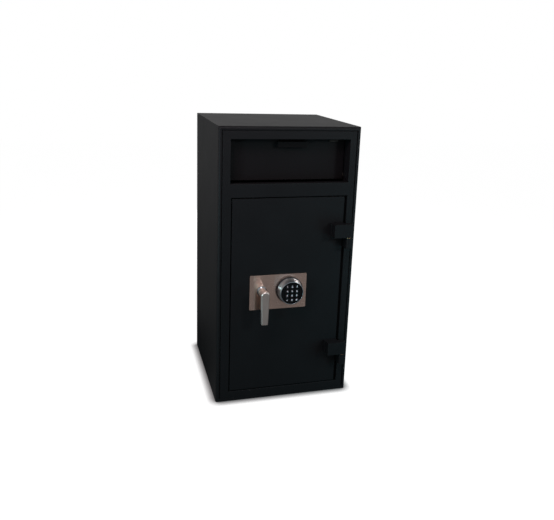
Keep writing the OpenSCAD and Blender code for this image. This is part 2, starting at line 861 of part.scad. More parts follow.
// Places the cover screws down both sides of the chassis
module for_cover_screws() {
    inset = (chassis_flange_w + chassis_t) / 2;
    low = chassis_z0 + inset + 20;
    step = (chassis_z1 - chassis_z0 - 2 * (inset + 20)) / (cover_screw_rows - 1);
    for (x = [chassis_x0 + inset, chassis_x1 - inset], row = [0:cover_screw_rows - 1])
        translate([x, 0, low + row * step]) children();
}

module rear_cover() color(powder_black) in_safe() difference() {
    block(
        [chassis_x0 + cover_gap, chassis_back, chassis_z0 + cover_gap],
        [chassis_x1 - cover_gap, chassis_back + cover_t, chassis_z1 - cover_gap]
    );
    for_cover_screws()
        bar_y(0, chassis_back - over, chassis_back + cover_t + over, 0, cover_screw_d + 2 * fit);
}

module cover_screws() color(zinc_steel) in_safe() for_cover_screws() {
    bar_y(0, chassis_back - chassis_t - 3, chassis_back + cover_t, 0, cover_screw_d);
    bar_y(
        0, chassis_back + cover_t, chassis_back + cover_t + cover_screw_head_t,
        0, cover_screw_head_d
    );
}

// Bolt work

module bolt_guides() color(bare_steel) in_safe() for (z = bolt_zs) difference() {
    block([guide_x0, plate_back, z - guide_h / 2], [guide_x1, guide_back, z + guide_h / 2]);
    bar_x(guide_x0 - over, guide_x1 + over, bolt_depth, z, bolt_d + 2 * fit);
}

module hinge_side_bolts() color(zinc_steel) in_safe() for (z = bolt_zs)
    bar_x(chassis_x1, door_x1 + stud_reach, stud_depth, z, stud_d);

module lever_handle() color(satin_nickel) in_safe() difference() {
    bar_front = -lever_proud;
    union() {
        hull() {
            lever_slice(bar_front, 0.1, lever_bevel);
            lever_slice(bar_front + lever_bevel, lever_t - lever_bevel, 0);
        }
        bar_y(lever_x, lever_back - over, rosette_front - slide_gap, lever_z, neck_d);
    }
    bar_y(lever_x, lever_back, rosette_front, lever_z, spindle_d + 2 * fit);
}

// Slice of the lever's bar, round at the top and slightly round at the end
module lever_slice(front, thick, inset) {
    end_r = 4;
    translate([lever_x, 0, lever_z]) upright(front, front + thick) hull() {
        for (side = [-1, 1]) {
            translate([side * (lever_top_w / 2 - lever_hub_r), lever_top - lever_hub_r])
                circle(r = lever_hub_r - inset, $fn = 32);
            translate([side * (lever_end_w / 2 - end_r), -lever_l + end_r])
                circle(r = end_r - inset, $fn = 16);
        }
    }
}

module lever_spindle() color(zinc_steel) in_safe()
    bar_y(lever_x, lever_back, crank_back, lever_z, spindle_d);

module crank_arm() color(bare_steel) in_safe() upright(crank_front, crank_back) difference() {
    arm_w = crank_pin_d + 4;
    union() {
        translate([lever_x, lever_z]) circle(d = crank_hub_d);
        translate([crank_pin_x, crank_pin_z]) circle(d = crank_pin_d + 8);
        translate([lever_x, lever_z]) rotate(-45) translate([0, -arm_w / 2]) square([crank_r, arm_w]);
    }
    translate([lever_x, lever_z]) circle(d = spindle_d + 2 * fit);
    translate([crank_pin_x, crank_pin_z]) circle(d = crank_pin_d + 2 * fit);
}

module crank_pin() color(zinc_steel) in_safe()
    bar_y(crank_pin_x, crank_front, carriage_front + carriage_t + 1, crank_pin_z, crank_pin_d);

module bolt_carriage() color(zinc_steel) in_safe() upright(carriage_front, carriage_front + carriage_t)
    difference() {
        union() {
            translate([bar_x0, bolt_zs[0] - bar_end])
                square([carriage_w, bolt_zs[2] - bolt_zs[0] + 2 * bar_end]);
            translate([bar_x1 - over, drive_bottom])
                square([crank_pin_x + drive_plate_over - bar_x1 + over, slot_top + slot_wall - drive_bottom]);
            polygon([
                [bar_x1, drive_bottom],
                [ramp_x1, drive_bottom],
                [ramp_x1, drive_top - (ramp_x1 - ramp_x0) * ramp_slope],
                [ramp_x0, drive_top],
                [bar_x1, drive_top]
            ]);
        }
        translate([crank_pin_x - crank_pin_d / 2 - slot_play, slot_bottom])
            square([crank_pin_d + 2 * slot_play, slot_top - slot_bottom]);
    }

module locking_bolts() color(bright_chrome) in_safe() for (z = bolt_zs)
    bar_x(bolt_tip_x, bar_x0, bolt_depth, z, bolt_d);

// Lock

module lock_case() color(bare_steel) in_safe() difference() {
    block([lock_x0, plate_back, lock_z0], [lock_x1, lock_back, lock_z1]);
    block(
        [lock_x0 + lock_wall, plate_back + lock_wall, lock_z0 + lock_wall],
        [lock_x1 - lock_wall, lock_back + over, lock_z1 - lock_wall]
    );
    block(
        [ramp_x0 - slide_gap, lock_bolt_front - slide_gap, lock_z0 - over],
        [
            ramp_x0 + lock_bolt_w + slide_gap,
            lock_bolt_front + lock_bolt_w + slide_gap,
            lock_z0 + lock_wall + over
        ]
    );
    bar_y(keypad_x, plate_back - over, plate_back + lock_wall + over, lever_z - lead_down, lead_hole_d);
    for_lock_screws()
        bar_y(0, plate_back - over, plate_back + lock_wall + over, 0, lock_screw_d + 2 * fit);
}

module lock_cover() color(bare_steel) in_safe() difference() {
    block([lock_x0, lock_back, lock_z0], [lock_x1, lock_back + lock_cover_t, lock_z1]);
    for_lock_screws()
        bar_y(0, lock_back - over, lock_back + lock_cover_t + over, 0, lock_screw_d + 2 * fit);
}

module lock_motor() color(bright_chrome) in_safe() {
    motor_d = 16;
    motor_z0 = lever_z + 6;
    bar_z(keypad_x, plate_back + lock_wall + motor_d / 2, motor_z0 + 8, motor_z0 + 28, motor_d);
    block(
        [keypad_x - 12, plate_back + lock_wall, motor_z0],
        [keypad_x + 12, plate_back + lock_wall + motor_d, motor_z0 + 8]
    );
}

module lock_screws() color(zinc_steel) in_safe() for_lock_screws() {
    bar_y(0, plate_back - lock_screw_grip + over, lock_back + lock_cover_t, 0, lock_screw_d);
    bar_y(
        0, lock_back + lock_cover_t, lock_back + lock_cover_t + lock_screw_head_t,
        0, lock_screw_head_d
    );
}

module lock_bolt() color(zinc_steel) in_safe() upright(lock_bolt_front, lock_bolt_front + lock_bolt_w)
    polygon([
        [ramp_x0, drive_top + slide_gap],
        [ramp_x0 + lock_bolt_w, drive_top + slide_gap - lock_bolt_w * ramp_slope],
        [ramp_x0 + lock_bolt_w, drive_top + lock_bolt_l],
        [ramp_x0, drive_top + lock_bolt_l]
    ]);

// Keys

module key_cap(column, row) color(gloss_black) in_safe() {
    upright(-keypad_proud - key_proud, key_back - key_flange_t)
        at_key(column, row) round_rect(key_w, key_w, key_r);
    upright(key_back - key_flange_t, key_back)
        at_key(column, row) round_rect(key_flange_w, key_flange_w, key_flange_r);
}

module key_1() { key_cap(0, 0); }
module key_2() { key_cap(1, 0); }
module key_3() { key_cap(2, 0); }
module key_4() { key_cap(0, 1); }
module key_5() { key_cap(1, 1); }
module key_6() { key_cap(2, 1); }
module key_7() { key_cap(0, 2); }
module key_8() { key_cap(1, 2); }
module key_9() { key_cap(2, 2); }
module key_star() { key_cap(0, 3); }
module key_0() { key_cap(1, 3); }
module key_hash() { key_cap(2, 3); }

outer_casing();
wall_infill();
inner_liner();
anchor_sleeves();
front_frame();
door_stop_frame();
frame_hinge_blocks();
hinge_pins();
hinge_washers();
hopper_housing();
upper_baffle();
lower_baffle();
hopper_pivot_pins();
hopper_buffers();
drawer_panel();
drawer_pull();
drawer_tab();
drawer_end_plates();
drawer_slide_plate();
drawer_bushes();
door_plate();
door_hinge_pads();
door_hinge_blocks();
escutcheon();
lever_rosette();
spindle_bush();
keypad_base();
keypad_ring();
keypad_face();
keypad_board();
keypad_battery();
lock_lead();
door_chassis();
rear_cover();
cover_screws();
bolt_guides();
hinge_side_bolts();
lock_case();
lock_cover();
lock_motor();
lock_screws();
lever_handle();
lever_spindle();
crank_arm();
crank_pin();
bolt_carriage();
locking_bolts();
lock_bolt();
key_1();
key_2();
key_3();
key_4();
key_5();
key_6();
key_7();
key_8();
key_9();
key_star();
key_0();
key_hash();
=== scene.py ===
"""Looks of a deposit safe with a tilting deposit drawer and a keypad lock.

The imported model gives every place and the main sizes. Each sub-assembly is a
class that replaces its plain solids by finished meshes, and each finish is a
small class that writes its own shader. Metres, +X to the right seen from the
front, +Y into the safe, +Z up.
"""

import json
import logging
import math
from dataclasses import dataclass, field
from enum import Enum
from typing import Iterable, Sequence

import bmesh
import bpy
from mathutils import Matrix, Vector

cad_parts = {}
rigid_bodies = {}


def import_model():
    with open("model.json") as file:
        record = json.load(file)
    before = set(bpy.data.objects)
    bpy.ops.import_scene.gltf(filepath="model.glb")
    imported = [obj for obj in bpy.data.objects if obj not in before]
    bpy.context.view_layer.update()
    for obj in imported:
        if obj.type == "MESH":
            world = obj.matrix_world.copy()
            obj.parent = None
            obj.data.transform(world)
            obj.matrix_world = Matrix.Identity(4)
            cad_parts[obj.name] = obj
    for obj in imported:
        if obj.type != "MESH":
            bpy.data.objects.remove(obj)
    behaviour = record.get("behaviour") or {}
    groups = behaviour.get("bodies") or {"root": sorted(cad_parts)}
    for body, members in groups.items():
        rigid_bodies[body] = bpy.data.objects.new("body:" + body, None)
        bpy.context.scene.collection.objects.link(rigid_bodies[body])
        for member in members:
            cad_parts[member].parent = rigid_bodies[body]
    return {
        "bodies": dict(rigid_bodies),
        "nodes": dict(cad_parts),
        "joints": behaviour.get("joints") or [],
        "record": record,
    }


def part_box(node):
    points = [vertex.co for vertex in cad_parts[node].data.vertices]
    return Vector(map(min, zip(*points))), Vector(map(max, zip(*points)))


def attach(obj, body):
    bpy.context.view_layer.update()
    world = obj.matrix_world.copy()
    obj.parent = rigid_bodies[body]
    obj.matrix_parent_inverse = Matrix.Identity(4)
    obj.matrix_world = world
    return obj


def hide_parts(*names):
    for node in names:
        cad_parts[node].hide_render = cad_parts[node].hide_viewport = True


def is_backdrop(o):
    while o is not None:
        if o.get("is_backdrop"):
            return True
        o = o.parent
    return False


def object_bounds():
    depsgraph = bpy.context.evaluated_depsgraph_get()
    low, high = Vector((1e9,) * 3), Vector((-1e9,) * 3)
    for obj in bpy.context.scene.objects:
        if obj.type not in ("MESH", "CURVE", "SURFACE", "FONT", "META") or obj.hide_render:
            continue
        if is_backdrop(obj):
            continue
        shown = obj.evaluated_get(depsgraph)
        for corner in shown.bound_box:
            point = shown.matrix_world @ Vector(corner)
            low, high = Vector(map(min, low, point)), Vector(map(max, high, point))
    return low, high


MM = 0.001
LOG = logging.getLogger("deposit_safe")

WHITE = (1.0, 1.0, 1.0, 1.0)
FORWARD = Vector((0.0, -1.0, 0.0))
UP = Vector((0.0, 0.0, 1.0))

Colour = tuple[float, float, float]
Point = tuple[float, float, float]
Pair = tuple[float, float]


# Shader maths


class Operation(Enum):
    """What a Math or Vector Math node does."""

    ADD = "ADD"
    SUBTRACT = "SUBTRACT"
    MULTIPLY = "MULTIPLY"
    POWER = "POWER"
    MAXIMUM = "MAXIMUM"
    DISTANCE = "DISTANCE"


class Ray(Enum):
    """A kind of ray, by its output on a Light Path node."""

    CAMERA = "Is Camera Ray"
    GLOSSY = "Is Glossy Ray"
    THROUGH = "Is Transmission Ray"


class Wire:
    """A shader socket that takes part in Python expressions."""

    def __init__(self, shader: "Shader", socket: bpy.types.NodeSocket | None) -> None:
        """Wraps a socket.

        Args:
            shader: The shader that the socket's node is in.
            socket: The output socket, or nothing for a node that ends a tree.
        """
        self.shader = shader
        self.socket = socket

    def _math(self, operation: Operation, first: "Value", second: "Value") -> "Wire":
        """Adds a Math node.

        Args:
            operation: What the node does.
            first: The upper input.
            second: The lower input.

        Returns:
            The result.
        """
        return self.shader.node(
            "ShaderNodeMath", {"operation": operation.value}, {0: first, 1: second}
        )

    def __add__(self, other: "Value") -> "Wire":
        """Adds a value."""
        return self._math(Operation.ADD, self, other)

    __radd__ = __add__

    def __sub__(self, other: "Value") -> "Wire":
        """Takes a value off."""
        return self._math(Operation.SUBTRACT, self, other)

    def __rsub__(self, other: "Value") -> "Wire":
        """Takes this off a value."""
        return self._math(Operation.SUBTRACT, other, self)

    def __mul__(self, other: "Value") -> "Wire":
        """Multiplies by a value."""
        return self._math(Operation.MULTIPLY, self, other)

    __rmul__ = __mul__

    def __pow__(self, other: "Value") -> "Wire":
        """Raises this to a power."""
        return self._math(Operation.POWER, self, other)

    def __rpow__(self, other: "Value") -> "Wire":
        """Raises a value to this power."""
        return self._math(Operation.POWER, other, self)

    def at_least(self, other: "Value") -> "Wire":
        """Gives the larger of this and a value."""
        return self._math(Operation.MAXIMUM, self, other)


Value = Wire | float | tuple


class Shader:
    """The node tree of one material or world."""

    def __init__(self, tree: bpy.types.NodeTree) -> None:
        """Empties a tree.

        Args:
            tree: The tree to write.
        """
        tree.nodes.clear()
        self.tree = tree

    def node(
        self,
        kind: str,
        settings: dict | None = None,
        inputs: dict | None = None,
        out: int | str = 0,
    ) -> Wire:
        """Adds a node.

        Args:
            kind: The node's type.
            settings: Attributes to set first; "stops" gives a ramp's stops.
            inputs: Values or wires, by socket name or number.
            out: The output to return, by name or number.

        Returns:
            The chosen output, or a wire without a socket if there is none.
        """
        made = self.tree.nodes.new(kind)
        for key, value in (settings or {}).items():
            if key == "stops":
                self._set_stops(made.color_ramp, value)
            else:
                setattr(made, key, value)
        for key, value in (inputs or {}).items():
            if isinstance(value, Wire):
                self.tree.links.new(value.socket, made.inputs[key])
            else:
                made.inputs[key].default_value = value
        return Wire(self, made.outputs[out]) if made.outputs else Wire(self, None)

    @staticmethod
    def _set_stops(ramp: bpy.types.ColorRamp, stops: Iterable[tuple[float, Colour]]) -> None:
        """Writes a ramp's stops.

        Args:
            ramp: The ramp.
            stops: Pairs of position and colour, in order.
        """
        stops = list(stops)
        while len(ramp.elements) < len(stops):
            ramp.elements.new(1.0)
        for element, (position, colour) in zip(ramp.elements, stops):
            element.position = position
            element.color = (*colour, 1.0)

    def place(self) -> Wire:
        """Gives the surface point in the safe's own frame, in metres."""
        return self.node("ShaderNodeTexCoord", out="Object")

    def vector(
        self, operation: Operation, first: Value, second: Value, out: int | str = 0
    ) -> Wire:
        """Adds a Vector Math node.

        Args:
            operation: What the node does.
            first: The upper input.
            second: The lower input.
            out: The output to return, by name or number.

        Returns:
            The chosen output.
        """
        return self.node(
            "ShaderNodeVectorMath", {"operation": operation.value}, {0: first, 1: second}, out
        )

    def noise(self, scale: float, detail: float = 2.0, along: Wire | None = None) -> Wire:
        """Gives fractal noise between 0 and 1.

        Args:
            scale: Cells per metre.
            detail: Octaves.
            along: The vector to read, or the surface point if left out.

        Returns:
            The noise.
        """
        vector = along if along is not None else self.place()
        return self.node(
            "ShaderNodeTexNoise",
            inputs={"Vector": vector, "Scale": scale, "Detail": detail},
        )

    def mix(self, factor: Value, first: Colour, second: Colour) -> Wire:
        """Mixes two colours.

        Args:
            factor: How much of the second.
            first: The colour at 0.
            second: The colour at 1.

        Returns:
            The mixed colour.
        """
        return self.node(
            "ShaderNodeMix",
            {"data_type": "RGBA"},
            {0: factor, 6: (*first, 1.0), 7: (*second, 1.0)},
            out=2,
        )

    def ray(self, kind: Ray) -> Wire:
        """Gives 1 for rays of one kind, else 0."""
        return self.node("ShaderNodeLightPath", out=kind.value)

    def graded(self, value: Wire, source: Pair, result: Pair) -> Wire:
        """Maps a value between two limits to between two others.

        Args:
            value: The value.
            source: Its lower and upper limit.
            result: What the two limits become.

        Returns:
            The mapped value, held at its limits.
        """
        limits = {"From Min": source[0], "From Max": source[1]}
        results = {"To Min": result[0], "To Max": result[1]}
        return self.node("ShaderNodeMapRange", inputs={"Value": value, **limits, **results})

    def bump(self, height: Wire, strength: float, distance: float) -> Wire:
        """Turns a height into a normal.

        Args:
            height: The height between 0 and 1.
            strength: How strong the effect is.
            distance: The height in metres that 1 stands for.

        Returns:
            The normal.
        """
        return self.node(
            "ShaderNodeBump",
            inputs={"Height": height, "Strength": strength, "Distance": distance},
        )

    def surface(self, **sockets: Value) -> None:
        """Ends the tree in a Principled shader.

        Args:
            sockets: The shader's inputs, with underscores for spaces.
        """
        inputs = {key.replace("_", " "): value for key, value in sockets.items()}
        shader = self.node("ShaderNodeBsdfPrincipled", inputs=inputs)
        self.node("ShaderNodeOutputMaterial", inputs={"Surface": shader})


# Finishes


@dataclass(frozen=True)
class Finish:
    """A surface finish; its kinds write their own shaders."""

    name: str

    def write(self, shader: Shader) -> None:
        """Writes the finish into an empty tree."""
        raise NotImplementedError

    @staticmethod
    def scaled(colour: Colour, factor: float) -> Colour:
        """Gives a colour made paler or darker by a factor."""
        return tuple(factor * channel for channel in colour)

    def material(self) -> bpy.types.Material:
        """Gives the finish's material, made on first use.

        Returns:
            The material.
        """
        known = bpy.data.materials.get(self.name)
        if known is not None:
            return known
        made = bpy.data.materials.new(self.name)
        made.use_nodes = True
        self.write(Shader(made.node_tree))
        return made


@dataclass(frozen=True)
class PowderCoat(Finish):
    """Satin powder coat with a fine orange peel."""

    deep: Colour = (0.0023, 0.0026, 0.0030)
    light: Colour = (0.0036, 0.0041, 0.0047)
    specular: float = 0.10
    clouds_per_m: float = 9.0
    grain_per_m: float = 2200.0
    cloud_share: float = 0.7
    least_rough: float = 0.42
    cloud_rough: float = 0.10
    grain_rough: float = 0.08
    peel_per_m: float = 650.0
    peel_strength: float = 0.35
    peel_height: float = 0.00012

    def write(self, shader: Shader) -> None:
        """Writes the coat: cloudy colour, cloudy gloss and orange peel.

        Args:
            shader: The empty tree.
        """
        clouds = shader.noise(self.clouds_per_m, detail=4.0)
        grain = shader.noise(self.grain_per_m, detail=1.0)
        peel = shader.noise(self.peel_per_m)
        paleness = clouds * self.cloud_share + grain * (1.0 - self.cloud_share)
        shader.surface(
            Base_Color=shader.mix(paleness, self.deep, self.light),
            Roughness=clouds * self.cloud_rough + grain * self.grain_rough + self.least_rough,
            Specular_IOR_Level=self.specular,
            Normal=shader.bump(peel, self.peel_strength, self.peel_height),
        )


@dataclass(frozen=True)
class Brushed(Finish):
    """Brushed metal, with lines as fine along each axis as its stretch says."""

    dark: Colour = (0.60, 0.445, 0.385)
    light: Colour = (0.68, 0.51, 0.45)
    stretch: Point = (12.0, 2600.0, 2600.0)
    rough: float = 0.29
    one_way: float = 0.0
    line_turn: float = 0.25
    clouds_per_m: float = 22.0
    line_share: float = 0.7
    line_rough: float = 0.16
    cloud_rough: float = 0.08
    line_strength: float = 0.25
    line_height: float = 0.00006

    def write(self, shader: Shader) -> None:
        """Writes the metal: lines in colour, gloss and height, and slow clouds.

        Level lines mirror sharply to the sides and softly up and down, by one_way.

        Args:
            shader: The empty tree.
        """
        across = shader.vector(Operation.MULTIPLY, shader.place(), self.stretch)
        lines = shader.noise(1.0, 3.0, across)
        clouds = shader.noise(self.clouds_per_m, detail=3.0)
        paleness = lines * self.line_share + clouds * (1.0 - self.line_share)
        least_rough = self.rough - (self.line_rough + self.cloud_rough) / 2
        shader.surface(
            Base_Color=shader.mix(paleness, self.dark, self.light),
            Metallic=1.0,
            Roughness=lines * self.line_rough + clouds * self.cloud_rough + least_rough,
            Anisotropic=self.one_way,
            Anisotropic_Rotation=self.line_turn,
            Normal=shader.bump(lines, self.line_strength, self.line_height),
        )


@dataclass(frozen=True)
class Polished(Finish):
    """Polished metal with faint wipe marks."""

    base: Colour = (0.27, 0.29, 0.31)
    rough: float = 0.10
    wipes_per_m: float = 60.0
    wipe_shade: float = 0.92
    wipe_rough: float = 0.08

    def write(self, shader: Shader) -> None:
        """Writes the metal: near mirror, a little cloudy.

        Args:
            shader: The empty tree.
        """
        wipes = shader.noise(self.wipes_per_m, detail=3.0)
        shader.surface(
            Base_Color=shader.mix(wipes, self.scaled(self.base, self.wipe_shade), self.base),
            Metallic=1.0,
            Roughness=wipes * self.wipe_rough + (self.rough - self.wipe_rough / 2),
        )


@dataclass(frozen=True)
class Moulded(Finish):
    """Moulded plastic or rubber with a fine grain."""

    base: Colour = (0.006, 0.0062, 0.0068)
    rough: float = 0.3
    grain_per_m: float = 2400.0
    grain_height: float = 0.00003
    specular: float = 0.3
    clouds_per_m: float = 30.0
    cloud_shade: float = 1.25
    grain_rough: float = 0.10
    cloud_rough: float = 0.06
    grain_strength: float = 0.3

    def write(self, shader: Shader) -> None:
        """Writes the plastic: grain in gloss and height.

        Args:
            shader: The empty tree.
        """
        grain = shader.noise(self.grain_per_m)
        clouds = shader.noise(self.clouds_per_m, detail=3.0)
        least_rough = self.rough - (self.grain_rough + self.cloud_rough) / 2
        shader.surface(
            Base_Color=shader.mix(clouds, self.base, self.scaled(self.base, self.cloud_shade)),
            Roughness=grain * self.grain_rough + clouds * self.cloud_rough + least_rough,
            Specular_IOR_Level=self.specular,
            Normal=shader.bump(grain, self.grain_strength, self.grain_height),
        )


@dataclass(frozen=True)
class CastFilling(Finish):
    """Rough cast filling with pores, darkened in colour as painted shade."""

    dark: Colour = (0.22, 0.215, 0.20)
    light: Colour = (0.44, 0.43, 0.40)
    pore_shade_stops: tuple[tuple[float, Colour], ...] = (
        (0.30, (0.35, 0.35, 0.35)),
        (0.38, (1.0, 1.0, 1.0)),
    )
    rough: float = 0.9
    grains_per_m: float = 420.0
    clouds_per_m: float = 14.0
    pores_per_m: float = 260.0
    grain_share: float = 0.6
    grain_strength: float = 0.7
    grain_height: float = 0.0008

    def write(self, shader: Shader) -> None:
        """Writes the filling: grains, clouds, and pores darkened as painted shade of their pits.

        Args:
            shader: The empty tree.
        """
        grains = shader.noise(self.grains_per_m, detail=4.0)
        clouds = shader.noise(self.clouds_per_m, detail=4.0)
        # The pores are darker spots in colour only: painted shade of pits.
        pores = shader.node(
            "ShaderNodeValToRGB", {"stops": self.pore_shade_stops}, {0: shader.noise(self.pores_per_m)}
        )
        paleness = grains * self.grain_share + clouds * (1.0 - self.grain_share)
        cast = shader.mix(paleness, self.dark, self.light)
        shader.surface(
            Base_Color=shader.vector(Operation.MULTIPLY, cast, pores),
            Roughness=self.rough,
            Normal=shader.bump(grains, self.grain_strength, self.grain_height),
        )


@dataclass(frozen=True)
class Legend(Finish):
    """Pale print on the keys."""

    ink: Colour = (0.43, 0.42, 0.46)
    spread_per_m: float = 900.0
    thin_shade: float = 0.86
    least_rough: float = 0.42
    spread_rough: float = 0.1

    def write(self, shader: Shader) -> None:
        """Writes the ink, slightly uneven.

        Args:
            shader: The empty tree.
        """
        spread = shader.noise(self.spread_per_m)
        shader.surface(
            Base_Color=shader.mix(spread, self.scaled(self.ink, self.thin_shade), self.ink),
            Roughness=spread * self.spread_rough + self.least_rough,
        )


FINISHES: dict[str, Finish] = {
    "powder_black": PowderCoat("powder_black_coat"),
    "infill": CastFilling("cast_filling"),
    "bare_steel": Brushed(
        "milled_steel", (0.30, 0.31, 0.32), (0.42, 0.43, 0.44), (500.0, 500.0, 500.0), 0.40
    ),
    "zinc_steel": Brushed(
        "zinc_plate", (0.40, 0.42, 0.44), (0.54, 0.55, 0.56), (90.0, 90.0, 90.0), 0.36
    ),
    "rose_plate": Brushed("rose_brushed", rough=0.24, one_way=0.9),
    "chrome": Polished("polished_chrome"),
    "satin_nickel": Brushed(
        "lever_satin_metal", (0.54, 0.48, 0.455), (0.67, 0.60, 0.57), (1400.0, 1400.0, 40.0), 0.36
    ),
    "gloss_black": Moulded("gloss_black_plastic", rough=0.2),
    "key_plastic": Moulded("key_black_plastic", (0.0040, 0.0043, 0.0048), 0.36, specular=0.12),
    "board": Moulded("green_solder_mask", (0.012, 0.085, 0.04), 0.38),
    "battery": Moulded("battery_sleeve", (0.03, 0.034, 0.042), 0.4),
    "rubber": Moulded("soft_rubber", (0.012, 0.012, 0.012), 0.72, 1600.0, 0.00008, 0.2),
    "brass": Brushed(
        "turned_brass", (0.24, 0.14, 0.07), (0.34, 0.21, 0.11), (60.0, 60.0, 900.0), 0.42
    ),
}
KEY_LEGEND = Legend("key_legend")
# The drawer panel and pull coats are darker than the casing's coat: painted shade of the recess
# they sit in.
SHADED_PANEL_COAT = PowderCoat(
    "drawer_panel_painted_shade_coat", (0.0022, 0.0021, 0.0024), (0.0034, 0.0032, 0.0036), specular=0.07
)
SHADED_PULL_COAT = PowderCoat(
    "drawer_pull_painted_shade_coat", (0.0016, 0.0015, 0.0017), (0.0023, 0.0021, 0.0024), specular=0.055
)
# The top tab is a paler brushed metal than the coat around it.
PALE_TAB_METAL = Brushed(
    "pale_tab_metal", (0.018, 0.019, 0.018), (0.05, 0.052, 0.05), (300.0, 60.0, 900.0), 0.42
)
DULL_BRONZE = Brushed(
    "dull_bronze", (0.055, 0.045, 0.038), (0.085, 0.068, 0.057), (60.0, 60.0, 900.0), 0.5
)
FACE_BLACK = Moulded("keypad_face_black", (0.0018, 0.0019, 0.0022), 0.4, specular=0.06)
TURNED_RING = Brushed(
    "turned_ring", (0.34, 0.39, 0.43), (0.43, 0.48, 0.53), (3.0, 1800.0, 3.0), 0.36
)


# Mesh work


class Form:
    """A mesh under construction, in the safe's frame."""

    # Vertices within MERGE are one, and faces within FLAT_DEG of each other are one face
    MERGE = 1e-6
    FLAT_DEG = 0.8
    SHARP_DEG = 32.0
    ROUND_PROFILE = 0.5
    ROUND_STEPS = 64
    NORMAL_WEIGHT = 80

    def __init__(self) -> None:
        """Starts with an empty mesh."""
        self.mesh = bmesh.new()

    @classmethod
    def of_mesh(cls, data: bpy.types.Mesh) -> "Form":
        """Copies a mesh and merges vertices that lie together.

        Args:
            data: The mesh.

        Returns:
            The copied form.
        """
        form = cls()
        form.mesh.from_mesh(data)
        bmesh.ops.remove_doubles(form.mesh, verts=form.mesh.verts, dist=cls.MERGE)
        return form

    @classmethod
    def of_node(cls, node: bpy.types.Object) -> "Form":
        """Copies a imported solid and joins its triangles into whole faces.

        Args:
            node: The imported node's object.

        Returns:
            The copied form.
        """
        form = cls.of_mesh(node.data)
        bmesh.ops.dissolve_limit(
            form.mesh,
            angle_limit=math.radians(cls.FLAT_DEG),
            verts=form.mesh.verts,
            edges=form.mesh.edges,
            use_dissolve_boundaries=False,
        )
        return form

    def soften(self, radius: float, segments: int) -> "Form":
        """Rounds the sharp edges.

        Args:
            radius: The rounding's width.
            segments: Faces across it.

        Returns:
            The form itself.
        """
        limit = math.radians(self.SHARP_DEG)
        sharp = [
            edge
            for edge in self.mesh.edges
            if edge.is_manifold and edge.calc_face_angle(0.0) > limit
        ]
        bmesh.ops.bevel(
            self.mesh,
            geom=sharp,
            offset=radius,
            segments=segments,
            profile=self.ROUND_PROFILE,
            affect="EDGES",
            clamp_overlap=True,
        )
        return self

    def _ring(self, points: Iterable[Vector]) -> list[bmesh.types.BMVert]:
        """Adds the vertices of a ring."""
        return [self.mesh.verts.new(point) for point in points]

    def _join(self, rings: Sequence[list[bmesh.types.BMVert]]) -> None:
        """Joins each ring to the next one by faces.

        Args:
            rings: Rings of equal length.
        """
        for lower, upper in zip(rings, rings[1:]):
            for index in range(len(lower)):
                after = (index + 1) % len(lower)
                self.mesh.faces.new((lower[index], lower[after], upper[after], upper[index]))

    def turned(self, origin: Vector, profile: Sequence[Pair], steps: int = ROUND_STEPS) -> "Form":
        """Adds a ring turned about a line that runs forward.

        Args:
            origin: The point on the line that heights count from.
            profile: Pairs of radius and height around the ring's section.
            steps: Faces around the line.

        Returns:
            The form itself.
        """
        across = FORWARD.cross(UP)
        angles = [2 * math.pi * step / steps for step in range(steps)]
        rings = []
        for radius, height in profile:
            centre = origin + FORWARD * height
            rings.append(
                self._ring(
                    centre + UP * (radius * math.cos(angle)) + across * (radius * math.sin(angle))
                    for angle in angles
                )
            )
        self._join([*rings, rings[0]])
        return self

    def skin(self, rings: Sequence[Sequence[Vector]]) -> "Form":
        """Adds a closed body through rings of equal length.

        Args:
            rings: The rings from one end to the other.

        Returns:
            The form itself.
        """
        made = [self._ring(ring) for ring in rings]
        self._join(made)
        self.mesh.faces.new(list(reversed(made[0])))
        self.mesh.faces.new(made[-1])
        return self

    def finish_as(self, name: str, finish: Finish) -> bpy.types.Object:
        """Turns the form into a scene object.

        Args:
            name: The object's name.
            finish: Its finish.

        Returns:
            The object.
        """
        data = bpy.data.meshes.new(name)
        bmesh.ops.recalc_face_normals(self.mesh, faces=self.mesh.faces)
        self.mesh.to_mesh(data)
        self.mesh.free()
        data.shade_smooth()
        data.set_sharp_from_angle(angle=math.radians(self.SHARP_DEG))
        data.materials.append(finish.material())
        made = bpy.data.objects.new(name, data)
        bpy.context.scene.collection.objects.link(made)
        weighted = made.modifiers.new("even_normals", "WEIGHTED_NORMAL")
        weighted.keep_sharp = True
        weighted.weight = self.NORMAL_WEIGHT
        return made


def arc(centre: Pair, radius: float, start: float, end: float, steps: int) -> list[Pair]:
    """Gives points of an arc.

    Args:
        centre: The arc's centre.
        radius: Its radius.
        start: The first angle in degrees.
        end: The last angle in degrees.
        steps: Stretches between the points.

    Returns:
        Pairs of coordinates, both ends included.
    """
    angles = [math.radians(start + (end - start) * step / steps) for step in range(steps + 1)]
    return [(centre[0] + radius * math.cos(a), centre[1] + radius * math.sin(a)) for a in angles]


def round_square(width: float, radius: float, steps: int = 6) -> list[Pair]:
    """Gives the outline of a square with round corners, about the origin.

    Args:
        width: Its width.
        radius: The corners' radius.
        steps: Stretches in each corner.

    Returns:
        Pairs of coordinates, anticlockwise.
    """
    inset = width / 2 - radius
    points = []
    for x_sign, y_sign, start in ((1, 1, 0), (-1, 1, 90), (-1, -1, 180), (1, -1, 270)):
        points += arc((x_sign * inset, y_sign * inset), radius, start, start + 90, steps)
    return points


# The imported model


@dataclass(frozen=True)
class Dressing:
    """A node that keeps its shape and gets edges rounded by a radius.

    Without a finish it takes the one of its material slot.
    """

    node: str
    name: str
    radius: float
    segments: int = 2
    finish: Finish | None = None


